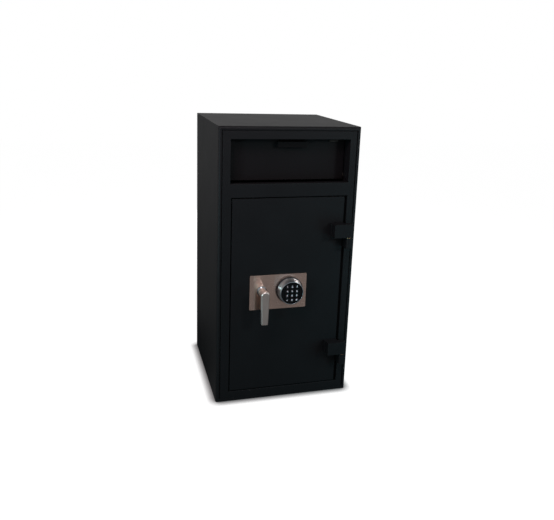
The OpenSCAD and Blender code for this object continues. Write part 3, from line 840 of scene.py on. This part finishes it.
@dataclass
class Safe:
    """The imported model, and what a piece takes from it."""

    frame: dict
    bodies: dict[str, str] = field(init=False, default_factory=dict)
    slots: dict[str, str] = field(init=False, default_factory=dict)
    count: int = field(init=False, default=0)

    def __post_init__(self) -> None:
        """Notes each node's body and material slot."""
        record = self.frame["record"]
        for body, nodes in record["behaviour"]["bodies"].items():
            self.bodies.update({node: body for node in nodes})
        for entry in record["subparts"]:
            self.slots[entry["node"]] = entry["material_slot"]

    def corners(self, node: str) -> tuple[Vector, Vector]:
        """Gives a node's lowest and highest corners."""
        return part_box(node)

    def centre(self, node: str) -> Vector:
        """Gives the middle of a node's box."""
        low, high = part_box(node)
        return (low + high) / 2

    def fit(
        self, form: Form, name: str, node: str, finish: Finish | None = None
    ) -> bpy.types.Object:
        """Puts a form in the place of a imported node.

        Args:
            form: The finished form.
            name: The piece's name.
            node: The node that it replaces.
            finish: Its finish, or the node's own if left out.

        Returns:
            The piece.
        """
        piece = self.add(form, name, node, finish)
        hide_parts(node)
        return piece

    def add(
        self, form: Form, name: str, node: str, finish: Finish | None = None
    ) -> bpy.types.Object:
        """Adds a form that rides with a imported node.

        Args:
            form: The finished form.
            name: The piece's name.
            node: The node whose body and slot it takes.
            finish: Its finish, or the node's own if left out.

        Returns:
            The piece.
        """
        slot = self.slots[node]
        piece = form.finish_as(name, finish or FINISHES[slot])
        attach(piece, self.bodies[node])
        self.count += 1
        LOG.info("%s: %d faces, rides on %s", name, len(piece.data.polygons), self.bodies[node])
        return piece

    def dress(self, item: Dressing) -> bpy.types.Object:
        """Replaces a node by its own shape with rounded edges.

        Args:
            item: The node, and how it is dressed.

        Returns:
            The piece.
        """
        form = Form.of_node(self.frame["nodes"][item.node]).soften(item.radius, item.segments)
        return self.fit(form, item.name, item.node, item.finish)


# Sub-assemblies


@dataclass
class Assembly:
    """A sub-assembly that dresses its nodes and builds its own pieces."""

    dressed: tuple[Dressing, ...] = ()

    def dress(self, safe: Safe) -> None:
        """Rounds the nodes that keep their shape."""
        for item in self.dressed:
            safe.dress(item)

    def build(self, safe: Safe) -> None:
        """Builds the whole sub-assembly."""
        self.dress(safe)


@dataclass
class Casing(Assembly):
    """Outer shell, filling, liner, front frame and stop strips."""

    dressed: tuple[Dressing, ...] = (
        Dressing("outer_casing", "casing_shell", 0.8 * MM),
        Dressing("wall_infill", "casing_filling", 0.5 * MM),
        Dressing("inner_liner", "chamber_liner", 0.5 * MM),
        Dressing("anchor_sleeves", "floor_anchor_sleeves", 0.4 * MM),
        Dressing("front_frame", "front_plate", 1.2 * MM),
        Dressing("door_stop_frame", "door_stop_strips", 0.5 * MM),
    )


@dataclass
class Hinges(Assembly):
    """The two block hinges: blocks, pads, washers and pins."""

    dressed: tuple[Dressing, ...] = (
        Dressing("frame_hinge_blocks", "hinge_frame_blocks", 1.2 * MM, 3),
        Dressing("door_hinge_blocks", "hinge_door_blocks", 1.2 * MM, 3),
        Dressing("door_hinge_pads", "hinge_pads", 0.8 * MM),
        Dressing("hinge_washers", "hinge_thrust_washers", 0.2 * MM),
        Dressing("hinge_pins", "hinge_turned_pins", 0.8 * MM, 3),
    )


@dataclass
class DepositDrawer(Assembly):
    """Tilting drawer with its housing and baffles.

    The panel and its pull have coats darker than the casing's, as painted shade of their recess,
    and the tab is a paler metal.
    """

    dressed: tuple[Dressing, ...] = (
        Dressing("hopper_housing", "drawer_housing", 0.5 * MM),
        Dressing("upper_baffle", "throat_baffle", 0.5 * MM),
        Dressing("lower_baffle", "floor_baffle", 0.5 * MM),
        Dressing("hopper_pivot_pins", "drawer_pivot_pins", 0.5 * MM),
        Dressing("hopper_buffers", "drawer_buffers", 1.0 * MM),
        Dressing("drawer_end_plates", "drawer_sector_plates", 0.5 * MM),
        Dressing("drawer_slide_plate", "drawer_sloping_plate", 0.5 * MM),
        Dressing("drawer_bushes", "drawer_pivot_bushes", 0.3 * MM, finish=DULL_BRONZE),
        Dressing("drawer_panel", "drawer_front_panel", 0.6 * MM, finish=SHADED_PANEL_COAT),
        Dressing("drawer_pull", "drawer_finger_pull", 1.1 * MM, 3, SHADED_PULL_COAT),
        Dressing("drawer_tab", "drawer_top_tab", 0.4 * MM, finish=PALE_TAB_METAL),
    )


@dataclass
class DoorLeaf(Assembly):
    """Door plate with its chassis, cover and screws."""

    dressed: tuple[Dressing, ...] = (
        Dressing("door_plate", "door_front_plate", 0.9 * MM),
        Dressing("door_chassis", "door_rear_chassis", 0.4 * MM),
        Dressing("rear_cover", "door_rear_cover", 0.4 * MM),
        Dressing("cover_screws", "door_cover_screws", 0.4 * MM),
        Dressing("escutcheon", "lock_rose_plate", 0.5 * MM),
    )


@dataclass
class BoltWork(Assembly):
    """Bolts, carriage, crank and lock."""

    dressed: tuple[Dressing, ...] = (
        Dressing("bolt_guides", "bolt_guide_blocks", 0.8 * MM),
        Dressing("hinge_side_bolts", "hinge_side_studs", 1.5 * MM),
        Dressing("locking_bolts", "round_locking_bolts", 1.8 * MM),
        Dressing("bolt_carriage", "bolt_carriage_plate", 0.6 * MM),
        Dressing("lock_case", "lock_body", 0.5 * MM),
        Dressing("lock_cover", "lock_body_cover", 0.5 * MM),
        Dressing("lock_motor", "lock_gear_motor", 0.5 * MM),
        Dressing("lock_screws", "lock_body_screws", 0.5 * MM),
        Dressing("lock_bolt", "lock_block_bolt", 0.6 * MM),
        Dressing("spindle_bush", "lever_spindle_bush", 0.4 * MM),
        Dressing("lever_spindle", "lever_turned_spindle", 0.5 * MM),
        Dressing("crank_arm", "spindle_crank_arm", 0.5 * MM),
        Dressing("crank_pin", "spindle_crank_pin", 0.5 * MM),
    )


@dataclass
class Lever(Assembly):
    """Drop lever and its stepped rosette."""

    dressed: tuple[Dressing, ...] = (Dressing("lever_handle", "lever_bar", 1.2 * MM, 3),)
    # The bore as a share of the rosette's radius
    bore: float = 0.39
    # The outside from back to front, as shares of the rosette's radius and depth
    outside: tuple[Pair, ...] = (
        (1.0, 0.0),
        (1.0, 0.3),
        (0.97, 0.42),
        (0.88, 0.62),
        (0.76, 0.86),
        (0.72, 1.0),
    )

    def build(self, safe: Safe) -> None:
        """Builds the lever and its rosette.

        Args:
            safe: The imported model.
        """
        self.dress(safe)
        low, high = safe.corners("lever_rosette")
        centre = safe.centre("lever_rosette")
        radius = (high.x - low.x) / 2
        depth = high.y - low.y
        bore = radius * self.bore
        outside = [(radius * wide, depth * far) for wide, far in self.outside]
        profile = [(bore, 0.0), *outside, (bore, depth)]
        form = Form().turned(Vector((centre.x, high.y, centre.z)), profile)
        safe.fit(form, "lever_chrome_rosette", "lever_rosette")


@dataclass
class Keypad(Assembly):
    """Round keypad with its ring, face, keys, board and battery."""

    dressed: tuple[Dressing, ...] = (
        Dressing("keypad_base", "keypad_rear_base", 1.0 * MM),
        Dressing("keypad_board", "keypad_circuit_board", 0.2 * MM),
        Dressing("keypad_battery", "keypad_block_battery", 1.0 * MM),
        Dressing("lock_lead", "keypad_lock_lead", 0.4 * MM),
        Dressing("keypad_face", "keypad_front_face", 0.2 * MM, finish=FACE_BLACK),
    )
    legends: tuple[tuple[str, str], ...] = (
        *((f"key_{digit}", digit) for digit in "123456789"),
        ("key_star", "*"),
        ("key_0", "0"),
        ("key_hash", "#"),
    )
    # The ring, of which the roll counts out and up from its front edge
    face_gap: float = 0.1 * MM
    front_width: float = 2.0 * MM
    seat_lip: float = 1.0 * MM
    back_edge: float = 0.4 * MM
    skirt_inset: float = 0.2 * MM
    skirt_height: float = 2.2 * MM
    roll: tuple[Pair, ...] = ((0.25 * MM, -0.9 * MM), (-0.1 * MM, -0.3 * MM), (-0.7 * MM, 0.0))
    mouth_edge: float = 0.3 * MM
    ring_steps: int = 96
    # A key, of which the dish has rings from the cap's edge to its middle:
    # how much narrower than the cap, corner radius and depth behind the front
    flange_excess: float = 1.6 * MM
    flange_thickness: float = 1.0 * MM
    flange_corner: float = 3.0 * MM
    cap_corner: float = 2.0 * MM
    dish: tuple[tuple[float, float, float], ...] = (
        (0.0, 2.0 * MM, 0.5 * MM),
        (0.4 * MM, 1.8 * MM, 0.15 * MM),
        (1.2 * MM, 1.5 * MM, 0.0),
        (3.0 * MM, 1.2 * MM, 0.12 * MM),
        (7.0 * MM, 0.8 * MM, 0.2 * MM),
    )
    # A digit, of which the inset counts back from the key's front
    digit_height: float = 9.8 * MM
    digit_depth: float = 0.12 * MM
    digit_weight: float = 0.12 * MM
    digit_inset: float = 0.15 * MM
    digit_facets: int = 4

    def build(self, safe: Safe) -> None:
        """Builds the keypad from back to front.

        Args:
            safe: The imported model.
        """
        self.dress(safe)
        self._ring(safe)
        for node, text in self.legends:
            self._key(safe, node)
            self._legend(safe, node, text)

    def _ring(self, safe: Safe) -> None:
        """Turns the tapered satin ring with a rolled front edge.

        Args:
            safe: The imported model.
        """
        low, high = safe.corners("keypad_ring")
        face_low, face_high = safe.corners("keypad_face")
        centre = safe.centre("keypad_ring")
        height = high.y - low.y
        seat = height - (face_high.y - face_low.y)
        back = (high.x - low.x) / 2
        mouth = (face_high.x - face_low.x) / 2 + self.face_gap
        front = mouth + self.front_width
        lip = mouth - self.seat_lip
        profile = [
            (lip, 0.0),
            (back - self.back_edge, 0.0),
            (back, self.back_edge),
            (back - self.skirt_inset, self.skirt_height),
            *((front + out, height + up) for out, up in self.roll),
            (mouth + self.mouth_edge, height),
            (mouth, height - self.mouth_edge),
            (mouth, seat),
            (lip, seat),
        ]
        origin = Vector((centre.x, high.y, centre.z))
        form = Form().turned(origin, profile, self.ring_steps)
        safe.fit(form, "keypad_turned_ring", "keypad_ring", TURNED_RING)

    def _key(self, safe: Safe, node: str) -> None:
        """Builds a key cap with a dished top and its rear flange.

        Args:
            safe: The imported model.
            node: The key's node.
        """
        low, high = safe.corners(node)
        centre = safe.centre(node)
        flange = high.x - low.x
        cap = flange - self.flange_excess
        shelf = high.y - self.flange_thickness
        steps = (
            (flange, self.flange_corner, high.y),
            (flange, self.flange_corner, shelf),
            (cap, self.cap_corner, shelf),
            *((cap - less, corner, low.y + depth) for less, corner, depth in self.dish),
        )
        rings = [
            [Vector((centre.x + x, depth, centre.z + z)) for x, z in round_square(width, corner)]
            for width, corner, depth in steps
        ]
        safe.fit(Form().skin(rings), f"{node}_cap", node)

    def _legend(self, safe: Safe, node: str, text: str) -> None:
        """Prints a plain digit or sign on a key.

        Args:
            safe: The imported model.
            node: The key's node.
            text: The digit or sign.
        """
        low, _ = safe.corners(node)
        centre = safe.centre(node)
        form = self._glyph(text)
        xs = [v.co.x for v in form.mesh.verts]
        ys = [v.co.y for v in form.mesh.verts]
        middle = Vector(((min(xs) + max(xs)) / 2, (min(ys) + max(ys)) / 2, 0.0))
        stand = Matrix.Rotation(math.pi / 2, 4, "X")
        place = Matrix.Translation((centre.x, low.y + self.digit_inset, centre.z))
        form.mesh.transform(place @ stand @ Matrix.Translation(-middle))
        safe.add(form, f"{node}_legend", node, KEY_LEGEND)

    def _glyph(self, text: str) -> Form:
        """Makes a digit or sign that lies flat at the origin.

        Args:
            text: The digit or sign.

        Returns:
            Its form.
        """
        curve = bpy.data.curves.new("glyph", "FONT")
        curve.body = text
        curve.align_x = "CENTER"
        curve.align_y = "CENTER"
        curve.size = self.digit_height
        curve.extrude = self.digit_depth
        curve.offset = self.digit_weight
        curve.resolution_u = self.digit_facets
        temporary = bpy.data.objects.new("glyph", curve)
        bpy.context.scene.collection.objects.link(temporary)
        bpy.context.view_layer.update()
        graph = bpy.context.evaluated_depsgraph_get()
        data = bpy.data.meshes.new_from_object(temporary.evaluated_get(graph))
        form = Form.of_mesh(data)
        bpy.data.objects.remove(temporary)
        bpy.data.meshes.remove(data)
        bpy.data.curves.remove(curve)
        return form


# Camera, floor and light


@dataclass
class Photographer:
    """The camera of the photograph, solved from the casing's edges."""

    image_width: int = 554
    image_height: int = 520
    position_mm: Point = (-595.9, -2224.2, 1204.6)
    yaw_deg: float = 16.21
    pitch_deg: float = 14.67
    roll_deg: float = -2.158
    focal_px: float = 614.83
    centre_px: Pair = (283.04, 223.77)
    sensor_mm: float = 36.0
    farthest: float = 50.0

    def build(self) -> None:
        """Makes the camera and gives it to the scene."""
        yaw, pitch, roll = (math.radians(a) for a in (self.yaw_deg, self.pitch_deg, self.roll_deg))
        forward = Vector(
            (math.sin(yaw) * math.cos(pitch), math.cos(yaw) * math.cos(pitch), -math.sin(pitch))
        )
        right = Vector((math.cos(yaw), -math.sin(yaw), 0.0))
        down = forward.cross(right)
        across = right * math.cos(roll) + down * math.sin(roll)
        below = down * math.cos(roll) - right * math.sin(roll)
        data = bpy.data.cameras.new("photo_camera")
        data.sensor_width = self.sensor_mm
        data.lens = self.focal_px * self.sensor_mm / self.image_width
        data.shift_x = (self.image_width / 2 - self.centre_px[0]) / self.image_width
        data.shift_y = (self.centre_px[1] - self.image_height / 2) / self.image_width
        data.clip_end = self.farthest
        camera = bpy.data.objects.new("photo_camera", data)
        turn = Matrix((across, -below, -forward)).transposed().to_4x4()
        camera.matrix_world = Matrix.Translation(Vector(self.position_mm) * MM) @ turn
        bpy.context.scene.collection.objects.link(camera)
        bpy.context.scene.camera = camera


@dataclass(frozen=True)
class Lamp:
    """A soft area lamp aimed at the safe, in degrees, metres and watts.

    Azimuth 0 is in front of the safe and 90 at its right. A lamp that isn't
    mirrored lights the safe and doesn't show in its metals.
    """

    name: str
    azimuth_deg: float
    elevation_deg: float
    distance: float
    size: float
    power: float
    tint: Colour = (1.0, 1.0, 1.0)
    mirrored: bool = True

    def build(self, target: Vector) -> None:
        """Places the lamp.

        Args:
            target: The point that it looks at.
        """
        turn, rise = math.radians(self.azimuth_deg), math.radians(self.elevation_deg)
        way = Vector(
            (math.sin(turn) * math.cos(rise), -math.cos(turn) * math.cos(rise), math.sin(rise))
        )
        data = bpy.data.lights.new(self.name, "AREA")
        data.size = self.size
        data.energy = self.power
        data.color = self.tint
        lamp = bpy.data.objects.new(self.name, data)
        lamp.location = target + way * self.distance
        lamp.rotation_euler = (-way).to_track_quat("-Z", "Y").to_euler()
        lamp.visible_glossy = self.mirrored
        bpy.context.scene.collection.objects.link(lamp)


@dataclass
class Studio:
    """Pale floor, white surroundings and soft lamps.

    The floor and the surroundings are white to the camera. In reflections the
    floor has painted shade: dark beside the safe and paler further off.
    """

    floor_size: float = 14.0
    ambient: float = 0.30
    # The floor as the camera sees it, with a contact shadow
    floor_glow: float = 0.93
    floor_white: float = 1.05
    floor_pale: Colour = (0.92, 0.92, 0.92)
    floor_bounce: Colour = (0.22, 0.22, 0.22)
    contact_reach: float = 0.032
    contact_depth: float = 3.0
    # The floor in reflections, with painted shade: a step near the safe, then a slow rise
    foot_middle: Point = (0.0, 0.245, 0.0)
    foot_reach: Pair = (0.34, 0.53)
    near_glow: float = 0.094
    dark_middle: Point = (-0.8, 0.5, 0.0)
    dark_reach: Pair = (0.3, 4.2)
    far_glow: float = 0.148
    # The surroundings in reflections: dim low down and overhead, bright between
    low_sky: float = 0.22
    high_sky: float = 1.0
    zenith: float = 0.3
    high_band: Pair = (0.0, 0.5)
    zenith_band: Pair = (0.55, 0.9)
    target_height: float = 0.68
    lamps: tuple[Lamp, ...] = (
        Lamp("key_lamp", 37.6, 18.0, 3.0, 0.38, 33.0, (0.86, 0.97, 1.0)),
        Lamp("top_lamp", -8.0, 50.0, 1.9, 0.7, 9.0, (1.0, 0.95, 0.96)),
        Lamp("warm_lamp", -38.0, 38.0, 1.4, 0.5, 19.0, (1.0, 0.56, 0.62), mirrored=False),
        Lamp("teal_lamp", 52.0, -16.0, 1.2, 0.5, 10.5, (0.32, 0.92, 1.0), mirrored=False),
        Lamp("left_lamp", -47.0, -7.0, 2.0, 0.36, 14.0, (0.55, 0.94, 1.0)),
        Lamp("rear_lamp", 180.0, -4.0, 2.8, 0.4, 60.0),
        Lamp("left_side_lamp", -98.0, -4.0, 2.8, 0.8, 13.0),
        Lamp("right_side_lamp", 98.0, -4.0, 2.8, 0.8, 110.0, (1.0, 0.84, 0.78), mirrored=False),
    )

    def build(self, middle: Vector) -> None:
        """Makes the floor, the world and the lamps.

        Args:
            middle: The middle of the safe.
        """
        self._world()
        self._floor()
        target = Vector((middle.x, 0.0, self.target_height))
        for lamp in self.lamps:
            lamp.build(target)

    @staticmethod
    def _glow(shader: Shader, middle: Point, reach: Pair, most: float) -> Wire:
        """Gives a floor glow that grows with the distance from a point.

        Args:
            shader: The floor's shader.
            middle: The point.
            reach: The distances at which the glow starts and is full.
            most: The full glow.

        Returns:
            The glow.
        """
        distance = shader.vector(Operation.DISTANCE, shader.place(), middle, out="Value")
        return shader.graded(distance, reach, (0.0, most))

    def _world(self) -> None:
        """Makes surroundings that are white to the eye and soft as light."""
        world = bpy.data.worlds.new("studio_world")
        world.use_nodes = True
        bpy.context.scene.world = world
        shader = Shader(world.node_tree)
        way = shader.node("ShaderNodeTexCoord", out="Generated")
        rise = shader.node("ShaderNodeSeparateXYZ", inputs={0: way}, out="Z")
        sky = shader.graded(rise, self.high_band, (self.low_sky, self.high_sky))
        sky = sky - shader.graded(rise, self.zenith_band, (0.0, self.high_sky - self.zenith))
        plain = shader.ray(Ray.CAMERA).at_least(shader.ray(Ray.THROUGH))
        strength = plain.at_least(shader.ray(Ray.GLOSSY) * sky).at_least(self.ambient)
        background = shader.node(
            "ShaderNodeBackground", inputs={"Color": WHITE, "Strength": strength}
        )
        shader.node("ShaderNodeOutputWorld", inputs={"Surface": background})

    def _floor(self) -> None:
        """Makes the floor, white to the eye with a faint shadow, and dim with painted shade in
        reflections.
        """
        half = self.floor_size / 2
        data = bpy.data.meshes.new("studio_floor")
        corners = [(-half, -half, 0), (half, -half, 0), (half, half, 0), (-half, half, 0)]
        data.from_pydata(corners, [], [(0, 1, 2, 3)])
        floor = bpy.data.objects.new("studio_floor", data)
        bpy.context.scene.collection.objects.link(floor)
        material = bpy.data.materials.new("studio_floor")
        material.use_nodes = True
        shader = Shader(material.node_tree)
        camera = shader.ray(Ray.CAMERA)
        glossy = shader.ray(Ray.GLOSSY)
        through = shader.ray(Ray.THROUGH)
        # In reflections the floor glow is painted darker near the safe and near a point at its
        # back left: painted shade.
        near = self._glow(shader, self.foot_middle, self.foot_reach, self.near_glow)
        far = self._glow(shader, self.dark_middle, self.dark_reach, self.far_glow)
        colour = shader.mix(camera, self.floor_bounce, self.floor_pale)
        matt = shader.node("ShaderNodeBsdfDiffuse", inputs={"Color": colour})
        open_sky = shader.node(
            "ShaderNodeAmbientOcclusion", inputs={"Distance": self.contact_reach}, out="AO"
        )
        lit = open_sky ** self.contact_depth * self.floor_white
        strength = (camera.at_least(through) * lit).at_least(glossy * (near + far))
        glow = shader.node("ShaderNodeEmission", inputs={"Color": WHITE, "Strength": strength})
        share = (camera * self.floor_glow).at_least(through).at_least(glossy)
        mixed = shader.node("ShaderNodeMixShader", inputs={0: share, 1: matt, 2: glow})
        shader.node("ShaderNodeOutputMaterial", inputs={"Surface": mixed})
        data.materials.append(material)
        floor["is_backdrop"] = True


def main() -> None:
    """Builds the safe's looks in order and notes its box before building, to centre the studio."""
    logging.basicConfig(level=logging.INFO, format="%(name)s %(message)s")
    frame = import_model()
    packed_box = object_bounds()
    safe = Safe(frame)
    Photographer().build()
    for assembly in (
        Casing(),
        Hinges(),
        DepositDrawer(),
        DoorLeaf(),
        BoltWork(),
        Lever(),
        Keypad(),
    ):
        LOG.info("building %s", type(assembly).__name__)
        assembly.build(safe)
    low, high = packed_box
    Studio().build((Vector(low) + Vector(high)) / 2)
    scene = bpy.context.scene
    scene.view_settings.view_transform = "Standard"
    LOG.info("%d pieces built", safe.count)


if __name__ == "__main__":
    main()
